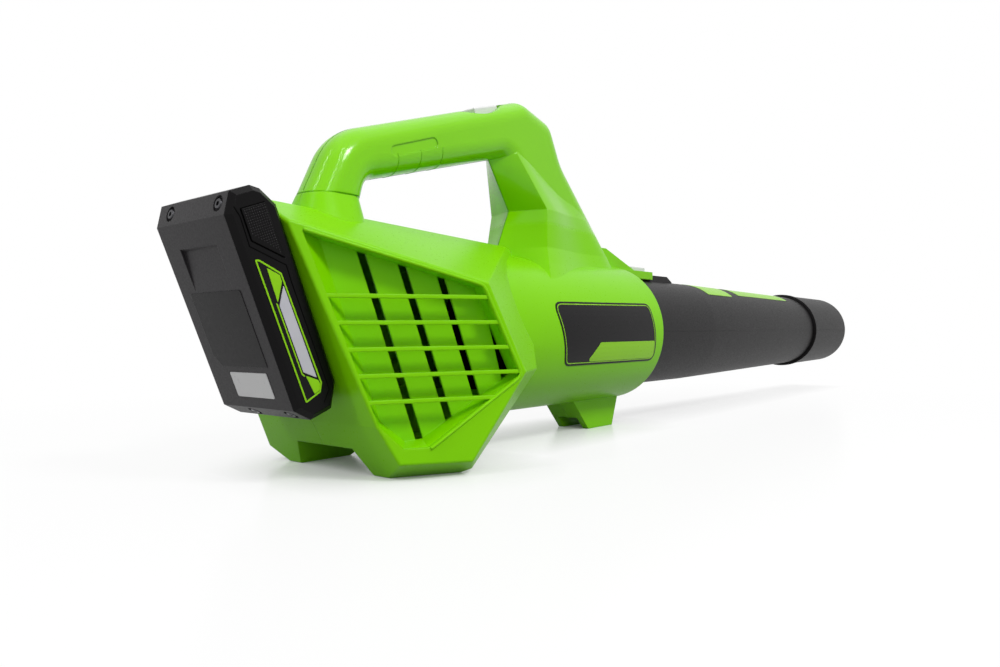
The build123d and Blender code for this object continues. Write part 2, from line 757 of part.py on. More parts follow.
# Battery pack
front_seat = pack_deep - rail_high - curve_gap - pack_wall
with BuildPart() as pack_case:
    with BuildSketch(pack_side):
        Polygon(*pack_outline, align=None)
    extrude(amount=pack_half, both=True)
    chamfer(pack_case.faces().filter_by(Axis.Y).edges(), pack_edge)
    with BuildSketch(pack_side):
        Polygon(*pack_outline, align=None)
        offset(amount=-pack_wall, kind=Kind.INTERSECTION, mode=Mode.REPLACE)
        with Locations((pack_rear_wall, 0)):
            Rectangle(pack_deep * 2, pack_low * 4, align=(Align.MIN, Align.CENTER), mode=Mode.INTERSECT)
    extrude(amount=pack_half - pack_wall, both=True, mode=Mode.SUBTRACT)
    # Pockets for the screws on the slanted ends
    for slope_plane, spots in (
        (pack_slope(pack_outline[-1], pack_outline[0], pocket_up), pocket_spots_high),
        (pack_slope(pack_outline[1], pack_outline[2], pocket_low), pocket_spots_low),
    ):
        with BuildSketch(slope_plane):
            with Locations(*[(spot, 0) for spot in spots]):
                Circle(pocket_r)
        extrude(amount=-pocket_deep, mode=Mode.SUBTRACT)
    # Ribs that back the rail grooves, the grooves and the terminal window
    with BuildSketch(pack_plane(front_seat)):
        with Locations((-rail_y, -pack_low / 2), (rail_y, -pack_low / 2)):
            Rectangle(rail_half * 4, pack_low - rail_half * 8)
    extrude(amount=pack_deep - front_seat - pack_wall / 2)
    with BuildSketch(pack_plane(pack_deep)):
        with Locations((-rail_y, -pack_low / 2), (rail_y, -pack_low / 2)):
            Rectangle((rail_half + rail_gap) * 2, pack_low * 2)
        with Locations((0, terminal_up)):
            Rectangle(terminal_half * 2 - wall, terminal_high - wall)
    extrude(amount=-rail_high - rail_gap, mode=Mode.SUBTRACT)
    # Side windows for the release buttons
    with BuildSketch(pack_side):
        Polygon(*pack_button_outline, align=None)
        offset(amount=curve_gap, kind=Kind.INTERSECTION, mode=Mode.REPLACE)
    extrude(amount=pack_half * 2, both=True, mode=Mode.SUBTRACT)

cover_half = pack_half - pack_edge
with BuildPart() as pack_cover:
    add(pack_case.part)
    with BuildSketch(pack_plane(0)):
        Rectangle(cover_half * 2, pack_low * 4)
    extrude(amount=pack_part, mode=Mode.INTERSECT)
    # Scoop for the fingers, deep under its upper edge and fading downwards
    with BuildSketch(pack_side):
        Polygon((0, scoop_up), (scoop_deep, scoop_up - scoop_deep), (0, scoop_up - scoop_long), align=None)
    extrude(amount=scoop_half, both=True, mode=Mode.SUBTRACT)
pack_cover.part.label = "pack_cover"
export_step(pack_cover.part, "parts/pack_cover.step")

with BuildPart() as pack_shell:
    add(pack_case.part)
    with BuildSketch(pack_plane(0)):
        Rectangle(cover_half * 2, pack_low * 4)
    extrude(amount=pack_part, mode=Mode.SUBTRACT)
pack_shell.part.label = "pack_shell"
export_step(pack_shell.part, "parts/pack_shell.step")

cell_deep = pack_rear_wall + curve_gap + cell_r
cell_pitch = cell_r * 2 + curve_gap
with BuildPart() as cells:
    with BuildSketch(pack_side.offset(-cell_length / 2)):
        with Locations(*[(cell_deep, first_cell_up - index * cell_pitch) for index in range(cell_count)]):
            Circle(cell_r)
    extrude(amount=cell_length)
cells.part.label = "cells"
export_step(cells.part, "parts/cells.step")

board_deep = cell_deep + cell_r + curve_gap
with BuildPart() as pack_board:
    with BuildSketch(pack_plane(board_deep)):
        with Locations((0, -pack_low / 2)):
            Rectangle((rail_y - rail_half * 2 - curve_gap) * 2, board_length)
    extrude(amount=board_thick)
pack_board.part.label = "pack_board"
export_step(pack_board.part, "parts/pack_board.step")

with BuildPart() as pack_contacts:
    with BuildSketch(pack_plane(board_deep + board_thick)):
        with Locations((0, terminal_up)):
            with GridLocations(contact_pitch, 0, contact_count, 1):
                Rectangle(contact_thick, contact_high)
    extrude(amount=pack_deep - board_deep - board_thick - contact_sink)
pack_contacts.part.label = "pack_contacts"
export_step(pack_contacts.part, "parts/pack_contacts.step")

with BuildPart() as pack_button_right:
    with BuildSketch(pack_side.offset(pack_half - pack_wall)):
        Polygon(*pack_button_outline, align=None)
    extrude(amount=pack_wall + pack_button_rise)
    fillet(pack_button_right.edges().group_by(Axis.Y)[0], pack_button_rise / 2)
    with BuildSketch(pack_side.offset(pack_half - pack_wall)):
        Polygon(*pack_button_outline, align=None)
        offset(amount=pack_wall / 2, kind=Kind.INTERSECTION, mode=Mode.REPLACE)
    extrude(amount=-pack_button_flange)
pack_button_right.part.label = "pack_button_right"
export_step(pack_button_right.part, "parts/pack_button_right.step")

with BuildPart() as pack_button_left:
    mirror(pack_button_right.part, about=Plane.XZ)
pack_button_left.part.label = "pack_button_left"
export_step(pack_button_left.part, "parts/pack_button_left.step")
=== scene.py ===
"""Looks of the cordless leaf blower: moulded finishes, bare panels, seams, screws, studio and camera.

Sizes are in millimetres and angles in degrees, except where metres are named. Places along the object are
counted from the rear corner of the side feet, and heights from the floor.
"""

import logging
import math
from abc import ABC, abstractmethod
from collections.abc import Callable, Iterable, Sequence
from dataclasses import dataclass, replace
from enum import Enum
from functools import cache, partial
from typing import ClassVar

import bmesh
import bpy
from mathutils import Matrix, Vector
from mathutils.bvhtree import BVHTree


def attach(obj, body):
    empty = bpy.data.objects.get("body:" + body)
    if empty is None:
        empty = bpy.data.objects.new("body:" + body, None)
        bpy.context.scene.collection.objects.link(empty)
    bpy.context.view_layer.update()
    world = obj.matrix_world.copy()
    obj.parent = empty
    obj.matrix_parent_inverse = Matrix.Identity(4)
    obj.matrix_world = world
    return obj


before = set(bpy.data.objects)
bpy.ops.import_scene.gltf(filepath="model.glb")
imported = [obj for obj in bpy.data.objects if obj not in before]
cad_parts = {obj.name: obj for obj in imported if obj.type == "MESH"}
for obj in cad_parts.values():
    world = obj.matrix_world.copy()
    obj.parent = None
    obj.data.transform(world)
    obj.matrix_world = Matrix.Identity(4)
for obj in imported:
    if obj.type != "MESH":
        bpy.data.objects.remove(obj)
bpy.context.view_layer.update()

LOG = logging.getLogger("leaf_blower")
MM = 0.001
WHITE = (1.0, 1.0, 1.0, 1.0)

# Where the rear corner of the side feet stands on the shared X axis, and the height of the duct's axis
FOOT_X = -387.95
AXIS_Z = 82.2

# Points closer than this, in metres, are one, and edges with a smaller sine between them are in line
NEARLY_ZERO = 1e-6
# Sides of a thin bead, and of one that is wide enough to look round
SEAM_SIDES = 6
RIM_SIDES = 12
# Longest run without a vertex on a curved and on a flat surface
CURVED_GRID = 4.0
FLAT_GRID = 60.0
# How far a print reaches down into the film under it
PRINT_OVERLAP = 0.1

Pair = tuple[float, float]
Triple = tuple[float, float, float]
Points = tuple[Pair, ...]
Placer = Callable[[float, float, float], Vector]
Shape = bmesh.types.BMesh
Node = bpy.types.Node
Socket = bpy.types.NodeSocket
Tree = bpy.types.NodeTree


def linear(code: str) -> tuple[float, float, float, float]:
    """Turns an sRGB hex colour into linear RGBA.

    Args:
        code: Colour as six hex digits after a hash sign.

    Returns:
        The colour in linear light, with full alpha.
    """
    parts = [int(code[i:i + 2], 16) / 255.0 for i in (1, 3, 5)]
    red, green, blue = [p / 12.92 if p <= 0.04045 else ((p + 0.055) / 1.055) ** 2.4 for p in parts]
    return red, green, blue, 1.0


def per_metre(size_mm: float) -> float:
    """Pattern scale whose features repeat about every size_mm."""
    return 1000.0 / size_mm


def add_node(tree: Tree, kind: str, inputs: dict | None = None, links: dict | None = None) -> Node:
    """Adds one node with its settings and links.

    Args:
        tree: The node tree that takes the node.
        kind: Blender's type name of the node.
        inputs: What goes in, by input name or number, or by property name in lower case. Sockets are linked,
            and other values are set.
        links: Sockets for inputs that also have a value of their own.

    Returns:
        The new node.
    """
    node = tree.nodes.new(kind)
    for key, value in [*(inputs or {}).items(), *(links or {}).items()]:
        if isinstance(value, Socket):
            tree.links.new(value, node.inputs[key])
        elif isinstance(key, str) and key[0].islower():
            setattr(node, key, value)
        else:
            node.inputs[key].default_value = value
    return node


def calculate(tree: Tree, operation: str, *terms: Socket | float) -> Socket:
    """Result of a math node on sockets and fixed values, in order."""
    inputs = {"operation": operation, **dict(enumerate(terms))}
    return add_node(tree, "ShaderNodeMath", inputs).outputs["Value"]


def map_range(tree: Tree, value: Socket, onto: tuple[Socket | float, float],
              start: Pair = (0.0, 1.0), smooth: bool = False) -> Socket:
    """Value mapped from the range start onto another and held there, where smooth with soft ends."""
    return add_node(tree, "ShaderNodeMapRange", {
        "interpolation_type": "SMOOTHSTEP" if smooth else "LINEAR", "Value": value,
        "From Min": start[0], "From Max": start[1], "To Min": onto[0], "To Max": onto[1],
    }).outputs["Result"]


def noise(tree: Tree, spot: Socket, size_mm: float, detail: float, roughness: float) -> Socket:
    """Cloud pattern from zero to one, with clouds of about size_mm."""
    return add_node(tree, "ShaderNodeTexNoise", {
        "Vector": spot, "Scale": per_metre(size_mm), "Detail": detail, "Roughness": roughness,
    }).outputs["Fac"]


def empty_material(name: str) -> bpy.types.Material:
    """Starts a material with an empty node tree.

    Args:
        name: Name of the material.

    Returns:
        The material.
    """
    made = bpy.data.materials.new(name)
    made.use_nodes = True
    made.node_tree.nodes.clear()
    return made


# How strongly a polished mould face mirrors, on the scale of MouldedPlastic.shine
POLISHED_SHINE = 0.26
# Detail and roughness of the flow marks, the mould grain and the clouds on bare metal
FLOW_NOISE = (3.0, 0.55)
GRAIN_NOISE = (2.0, 0.5)
CLOUD_NOISE = (3.0, 0.5)
CLOUD_MM = 4.0
# Part of the grain pattern that spans the roughness range, and how much the grain shows in the light
GRAIN_RANGE = (0.3, 0.7)
GRAIN_STRENGTH = 0.6
EDGE_SAMPLES = 4
# Blender's wave pattern turns by this many radians for each unit of its scale
WAVE_RATE = 20.0
TOOL_MARKS = {"wave_type": "BANDS", "bands_direction": "X", "Distortion": 1.5, "Detail": 2.0}


class Sheen(Enum):
    """How a mould was finished, as the roughness range that the surface shows."""

    POLISHED = (0.12, 0.2)
    SATIN = (0.27, 0.38)
    SPARKED = (0.4, 0.54)
    MATT = (0.55, 0.70)


@dataclass(frozen=True)
class Finish(ABC):
    """How a surface looks.

    Attributes:
        name: Material name.
        colour: Main colour as sRGB hex.
        shade: Colour of the marks in it as sRGB hex.
    """

    name: str
    colour: str
    shade: str

    def material(self) -> bpy.types.Material:
        """Builds the material once.

        Returns:
            The finished material.
        """
        made = bpy.data.materials.get(self.name)
        if made is None:
            made = empty_material(self.name)
            tree = made.node_tree
            shader = self._shader(tree, add_node(tree, "ShaderNodeTexCoord").outputs["Object"])
            add_node(tree, "ShaderNodeOutputMaterial", {"Surface": shader.outputs["BSDF"]})
        return made

    @abstractmethod
    def _shader(self, tree: Tree, spot: Socket) -> Node:
        """Makes the shader and its patterns.

        Args:
            tree: The material's tree.
            spot: Place on the object.

        Returns:
            The shader.
        """

    def _mixed(self, tree: Tree, share: Socket) -> Socket:
        """Mix of the two colours by the share of the main one."""
        return add_node(tree, "ShaderNodeMixRGB", {
            "Fac": share, "Color1": linear(self.shade), "Color2": linear(self.colour),
        }).outputs["Color"]


@dataclass(frozen=True)
class MouldedPlastic(Finish):
    """An injection-moulded plastic: slow flow marks in the colour, fine mould texture in the gloss.

    Attributes:
        sheen: Finish of the mould.
        ior: Refractive index of the plastic.
        grain_mm: Size of the mould texture's grain.
        grain_depth_mm: Height of the grain.
        shine: How strongly the face mirrors, with half as the plain value for its index.
        flow_mm: Size of the flow marks.
        edge_mm: Radius that the mould leaves on its edges.
        polish_mm: Heights between which the mould goes from its finish to polished, if it does.
    """

    sheen: Sheen
    ior: float
    grain_mm: float
    grain_depth_mm: float
    shine: float = 0.4
    flow_mm: float = 55.0
    edge_mm: float = 0.6
    polish_mm: Pair | None = None

    def _shader(self, tree: Tree, spot: Socket) -> Node:
        """Makes the plastic's shader and its patterns.

        Args:
            tree: The material's tree.
            spot: Place on the object.

        Returns:
            The shader.
        """
        add = partial(add_node, tree)
        flow = noise(tree, spot, self.flow_mm, *FLOW_NOISE)
        grain = noise(tree, spot, self.grain_mm, *GRAIN_NOISE)
        gloss = map_range(tree, grain, self.sheen.value, GRAIN_RANGE)
        links: dict[str, Socket] = {}
        if self.polish_mm:
            low, high = self.polish_mm
            height = add("ShaderNodeSeparateXYZ", {"Vector": spot}).outputs["Z"]
            share = map_range(tree, height, (0.0, 1.0), (low * MM, high * MM), smooth=True)
            shiny = map_range(tree, grain, Sheen.POLISHED.value, GRAIN_RANGE)
            gloss = add("ShaderNodeMix", {0: share, 2: gloss, 3: shiny}).outputs[0]
            links["Specular IOR Level"] = map_range(tree, share, (self.shine, POLISHED_SHINE))
        edge = add("ShaderNodeBevel", {"samples": EDGE_SAMPLES, "Radius": self.edge_mm * MM})
        relief = add("ShaderNodeBump", {
            "Strength": GRAIN_STRENGTH, "Distance": self.grain_depth_mm * MM, "Height": grain,
            "Normal": edge.outputs["Normal"],
        })
        return add("ShaderNodeBsdfPrincipled", {
            "IOR": self.ior, "Specular IOR Level": self.shine, "Base Color": self._mixed(tree, flow),
            "Roughness": gloss, "Normal": relief.outputs["Normal"],
        }, links)


@dataclass(frozen=True)
class TurnedMetal(Finish):
    """A bare metal part off the lathe or the press: fine lines along one axis, uneven gloss.

    Attributes:
        roughness: Lowest and highest roughness.
        line_mm: Size of a tool mark; the marks repeat about every six sizes.
    """

    roughness: Pair
    line_mm: float = 0.4

    def _shader(self, tree: Tree, spot: Socket) -> Node:
        """Makes the metal's shader and its patterns.

        Args:
            tree: The material's tree.
            spot: Place on the object.

        Returns:
            The shader.
        """
        lines = add_node(tree, "ShaderNodeTexWave", {
            **TOOL_MARKS, "Vector": spot, "Scale": per_metre(self.line_mm) / WAVE_RATE,
        })
        return add_node(tree, "ShaderNodeBsdfPrincipled", {
            "Metallic": 1.0, "Base Color": self._mixed(tree, noise(tree, spot, CLOUD_MM, *CLOUD_NOISE)),
            "Roughness": map_range(tree, lines.outputs["Fac"], self.roughness),
        })


# Plastics: name, colour, shade and mould finish, then refractive index, grain size and grain depth
# Housing: lime ABS, satin on the body and polished on the handle
LIME = MouldedPlastic("lime_abs", "#82d200", "#7bca00", Sheen.SATIN, 1.54, 1.6, 0.006, shine=0.12,
                      flow_mm=70.0, edge_mm=1.2, polish_mm=(164.0, 170.0))
# Seams: the same ABS in the shade of the joint
LIME_SEAM = MouldedPlastic("lime_abs_seam", "#5a9f04", "#529402", Sheen.SATIN, 1.54, 1.6, 0.006, shine=0.2)
# Tube: black polypropylene, spark-textured, a grey sheen along the top
TUBE = MouldedPlastic("black_polypropylene", "#131112", "#0f0e0f", Sheen.SPARKED, 1.49, 1.3, 0.03, shine=0.18)
# Pack cover: charcoal polycarbonate blend with a fine leather grain
CHARCOAL = MouldedPlastic("charcoal_polycarbonate", "#242224", "#1f1d1f", Sheen.SPARKED, 1.58, 1.0, 0.03,
                          shine=0.18)
# Pack shell: the same blend, nearly black and a little smoother
PACK_BLACK = MouldedPlastic("black_polycarbonate", "#0b0a0b", "#090809", Sheen.SATIN, 1.58, 1.0, 0.02,
                            shine=0.08)
# Joint of the pack's mouldings: the same blend, shaded
PACK_SEAM = MouldedPlastic("black_seam", "#030303", "#020202", Sheen.MATT, 1.58, 1.0, 0.02, shine=0.03)
# Inner parts: glass-filled nylon, dull black with short fibre clouds
NYLON = MouldedPlastic("filled_nylon", "#181919", "#0f1010", Sheen.MATT, 1.53, 0.9, 0.03, shine=0.2,
                       flow_mm=12.0)
# Buttons: pale grey acetal, smooth to the thumb
GREY = MouldedPlastic("grey_acetal", "#d8dad8", "#d0d2d0", Sheen.SATIN, 1.48, 1.6, 0.01)
# Boards: green solder mask over fibreglass cloth
MASK = MouldedPlastic("solder_mask", "#14633a", "#0f4f2e", Sheen.POLISHED, 1.55, 0.6, 0.01, flow_mm=5.0)
# Cells: shrink film drawn tight, with soft colour drift
FILM = MouldedPlastic("shrink_film", "#2f7fb5", "#2a72a6", Sheen.POLISHED, 1.57, 1.5, 0.01, flow_mm=20.0)
# Bare label films: smooth vinyl with a faint orange-peel face
LABEL_BLACK = MouldedPlastic("label_black", "#121012", "#0e0d0e", Sheen.SATIN, 1.5, 2.4, 0.003, shine=0.12,
                             flow_mm=18.0)
LABEL_LIME = replace(LABEL_BLACK, name="label_lime", colour="#8fd018", shade="#88c812", shine=0.2)
LABEL_SILVER = replace(LABEL_LIME, name="label_silver", colour="#c0bfc7", shade="#b7b6be")
LABEL_WHITE = replace(LABEL_LIME, name="label_white", colour="#dcdcdc", shade="#d4d4d5")
# Metals: zinc-plated in the housing, black-oxide screws with a dull glint in the pack, brass contacts
STEEL = TurnedMetal("plated_steel", "#b9bcc0", "#9fa2a6", roughness=(0.22, 0.42))
DARK_STEEL = TurnedMetal("black_oxide_steel", "#4a4a4d", "#38383a", roughness=(0.28, 0.42))
BRASS = TurnedMetal("contact_brass", "#c9a45a", "#b58f45", roughness=(0.2, 0.38))


def add_object(name: str, data: bpy.types.ID) -> bpy.types.Object:
    """Links a new object into the scene, at the origin.

    Args:
        name: Name of the object.
        data: Its mesh, light or camera.

    Returns:
        The new object.
    """
    made = bpy.data.objects.new(name, data)
    bpy.context.scene.collection.objects.link(made)
    return made


def new_tree(name: str, **sizes: Sequence[str]) -> tuple[Tree, dict[str, Socket]]:
    """Starts a geometry tree with named inputs.

    Args:
        name: Name of the tree.
        **sizes: Names of its inputs, by their kind.

    Returns:
        The tree and its inputs by name.
    """
    tree = bpy.data.node_groups.new(name, "GeometryNodeTree")
    for kind, labels in {"Geometry": ["Geometry"], **sizes, "Material": ["Finish"]}.items():
        for label in labels:
            tree.interface.new_socket(name=label, in_out="INPUT", socket_type="NodeSocket" + kind)
    tree.interface.new_socket(name="Geometry", in_out="OUTPUT", socket_type="NodeSocketGeometry")
    entry = add_node(tree, "NodeGroupInput")
    return tree, {socket.name: socket for socket in entry.outputs if socket.name}


def close_tree(tree: Tree, shape: Socket, finish: Socket) -> None:
    """Ends a geometry tree with plain meshes and their material.

    Args:
        tree: The tree.
        shape: What it made.
        finish: The material input.
    """
    whole = add_node(tree, "GeometryNodeRealizeInstances", {"Geometry": shape}).outputs["Geometry"]
    painted = add_node(tree, "GeometryNodeSetMaterial", {"Geometry": whole, "Material": finish})
    add_node(tree, "NodeGroupOutput", {"Geometry": painted.outputs["Geometry"]})


def screw_tree() -> Tree:
    """Makes the tree that sets a bevelled screw head with a six-sided drive on every start point.

    Returns:
        The tree; its start mesh has the head's direction in the attribute facing.
    """
    head_sides, drive_sides, top_share = 32, 6, 0.8
    sizes = ("Head Diameter", "Head Height", "Drive Size", "Drive Depth")
    tree, size = new_tree("recessed_screws", Float=sizes)
    add = partial(add_node, tree)
    head = add("GeometryNodeMeshCone", {
        "Vertices": head_sides, "Depth": size["Head Height"],
        "Radius Top": calculate(tree, "MULTIPLY", size["Head Diameter"], 0.5 * top_share),
        "Radius Bottom": calculate(tree, "MULTIPLY", size["Head Diameter"], 0.5),
    })
    drive = add("GeometryNodeMeshCylinder", {
        "Vertices": drive_sides, "Radius": calculate(tree, "MULTIPLY", size["Drive Size"], 0.5),
        "Depth": calculate(tree, "MULTIPLY", size["Drive Depth"], 2.0),
    })
    lift = add("ShaderNodeCombineXYZ", {"Z": size["Head Height"]})
    shift = {"Geometry": drive.outputs["Mesh"], "Translation": lift.outputs["Vector"]}
    raised = add("GeometryNodeTransform", shift)
    cut = add("GeometryNodeMeshBoolean", {
        "operation": "DIFFERENCE", "Mesh 1": head.outputs["Mesh"], "Mesh 2": raised.outputs["Geometry"],
    })
    facing = add("GeometryNodeInputNamedAttribute", {"data_type": "FLOAT_VECTOR", "Name": "facing"})
    turn = add("FunctionNodeAlignRotationToVector", {"axis": "Z", "Vector": facing.outputs["Attribute"]})
    spread = add("GeometryNodeInstanceOnPoints", {
        "Points": size["Geometry"], "Instance": cut.outputs["Mesh"], "Rotation": turn.outputs["Rotation"],
    })
    close_tree(tree, spread.outputs["Instances"], size["Finish"])
    return tree


def knurl_tree() -> Tree:
    """Makes the tree that covers a pad, cut off by a slanted lower edge, with rows of small domes.

    Returns:
        The tree; it needs no start mesh.
    """
    tree, size = new_tree(
        "knurled_pad", Vector=("Corner", "Across", "Down", "Facing"), Int=("Columns", "Rows"),
        Float=("Width", "Height", "Short Side", "Slope", "Dot Diameter", "Dot Height"),
    )
    add = partial(add_node, tree)
    grid = add("GeometryNodeMeshGrid", {
        "Size X": size["Width"], "Size Y": size["Height"],
        "Vertices X": size["Columns"], "Vertices Y": size["Rows"],
    })
    spot = add("GeometryNodeInputPosition").outputs["Position"]
    parts = add("ShaderNodeSeparateXYZ", {"Vector": spot})
    across = calculate(tree, "ADD", parts.outputs["X"], calculate(tree, "MULTIPLY", size["Width"], 0.5))
    down = calculate(tree, "ADD", parts.outputs["Y"], calculate(tree, "MULTIPLY", size["Height"], 0.5))
    edge = calculate(tree, "MULTIPLY_ADD", across, size["Slope"], size["Short Side"])
    sideways = add("ShaderNodeVectorMath", {
        "operation": "MULTIPLY_ADD", 0: size["Across"], 1: across, 2: size["Corner"],
    })
    place = add("ShaderNodeVectorMath", {
        "operation": "MULTIPLY_ADD", 0: size["Down"], 1: down, 2: sideways.outputs["Vector"],
    })
    turn = add("FunctionNodeAlignRotationToVector", {"axis": "Z", "Vector": size["Facing"]})
    dome = add("GeometryNodeMeshIcoSphere", {"Radius": 0.5, "Subdivisions": 1})
    stretch = add("ShaderNodeCombineXYZ", {
        "X": size["Dot Diameter"], "Y": size["Dot Diameter"],
        "Z": calculate(tree, "MULTIPLY", size["Dot Height"], 2.0),
    })
    beyond = calculate(tree, "SUBTRACT", 1.0, calculate(tree, "LESS_THAN", down, edge))
    kept = add("GeometryNodeDeleteGeometry", {"Geometry": grid.outputs["Mesh"], "Selection": beyond})
    laid = add("GeometryNodeSetPosition", {
        "Geometry": kept.outputs["Geometry"], "Position": place.outputs["Vector"],
    })
    spread = add("GeometryNodeInstanceOnPoints", {
        "Points": laid.outputs["Geometry"], "Instance": dome.outputs["Mesh"],
        "Rotation": turn.outputs["Rotation"], "Scale": stretch.outputs["Vector"],
    })
    close_tree(tree, spread.outputs["Instances"], size["Finish"])
    return tree


@cache
def bead_tree() -> Tree:
    """Makes, once, the tree that draws a thin round bead along the edges of its start mesh.

    Returns:
        The tree.
    """
    tree, size = new_tree("bead_line", Float=["Line Width"], Int=["Sides"])
    path = add_node(tree, "GeometryNodeMeshToCurve", {"Mesh": size["Geometry"]})
    ring = add_node(tree, "GeometryNodeCurvePrimitiveCircle", {
        "mode": "RADIUS", "Resolution": size["Sides"],
        "Radius": calculate(tree, "MULTIPLY", size["Line Width"], 0.5),
    })
    bead = add_node(tree, "GeometryNodeCurveToMesh", {
        "Fill Caps": True, "Curve": path.outputs["Curve"], "Profile Curve": ring.outputs["Curve"],
    })
    close_tree(tree, bead.outputs["Mesh"], size["Finish"])
    return tree


@dataclass(frozen=True)
class Piece:
    """A piece that is added to the CAD shapes.

    Attributes:
        name: Name of the piece.
        body: CAD body that carries it.
        slot: The record's material slot; not used.
        finish: Its finish.
    """

    name: str
    body: str
    slot: str
    finish: Finish

    def from_shape(self, shape: Shape) -> None:
        """Makes the piece from a ready shape.

        Args:
            shape: The shape in metres in the shared frame; it is used up.
        """
        bmesh.ops.recalc_face_normals(shape, faces=shape.faces)
        mesh = bpy.data.meshes.new(self.name)
        shape.to_mesh(mesh)
        shape.free()
        mesh.materials.append(self.finish.material())
        self._carry(add_object(self.name, mesh))

    def from_tree(self, tree: Tree, start: bpy.types.Mesh, sizes: dict) -> None:
        """Grows the piece with a geometry tree and keeps it as a plain mesh.

        Args:
            tree: The geometry tree.
            start: The mesh that the tree works on; it is used up.
            sizes: Values of the tree's inputs by name.
        """
        piece = add_object(self.name, start)
        modifier = piece.modifiers.new("grow", "NODES")
        modifier.node_group = tree
        values = {**sizes, "Finish": self.finish.material()}
        for item in tree.interface.items_tree:
            if item.in_out == "INPUT" and item.name in values:
                modifier[item.identifier] = values[item.name]
        graph = bpy.context.evaluated_depsgraph_get()
        solid = bpy.data.meshes.new_from_object(piece.evaluated_get(graph), depsgraph=graph)
        piece.modifiers.clear()
        piece.data = solid
        bpy.data.meshes.remove(start)
        solid.name = self.name
        self._carry(piece)

    def from_lines(self, runs: Sequence[Sequence[Vector]], width: float, sides: int = SEAM_SIDES) -> None:
        """Makes the piece as thin round beads along lines.

        Args:
            runs: Points of each line in metres; a line that ends where it starts is closed.
            width: Thickness of the bead.
            sides: Sides of the bead's section.
        """
        spots: list[Vector] = []
        edges: list[tuple[int, int]] = []
        for run in runs:
            first = len(spots)
            closed = (run[0] - run[-1]).length < NEARLY_ZERO
            spots += run[:-1] if closed else run
            edges += [(index, index + 1) for index in range(first, len(spots) - 1)]
            if closed:
                edges.append((len(spots) - 1, first))
        path = bpy.data.meshes.new(self.name + "_path")
        path.from_pydata(spots, edges, [])
        self.from_tree(bead_tree(), path, {"Line Width": width * MM, "Sides": sides})

    def _carry(self, made: bpy.types.Object) -> None:
        """Lets the finished object ride on its body.

        Args:
            made: The object.
        """
        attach(made, self.body)
        LOG.info("%s rides on %s", made.name, self.body)


def skin(*names: str) -> BVHTree:
    """Collects the surfaces of CAD nodes, so that thin details can be laid on them.

    Args:
        *names: Names of the CAD nodes.

    Returns:
        A tree that rays can be cast at.
    """
    spots: list[Vector] = []
    faces: list[list[int]] = []
    for name in names:
        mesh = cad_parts[name].data
        first = len(spots)
        spots += [vertex.co.copy() for vertex in mesh.vertices]
        faces += [[first + index for index in face.vertices] for face in mesh.polygons]
    return BVHTree.FromPolygons(spots, faces)


def around(spots: list) -> Iterable[tuple]:
    """Every point of a closed line, between the one before it and the one after it."""
    return zip(spots[-1:] + spots[:-1], spots, spots[1:] + spots[:1])


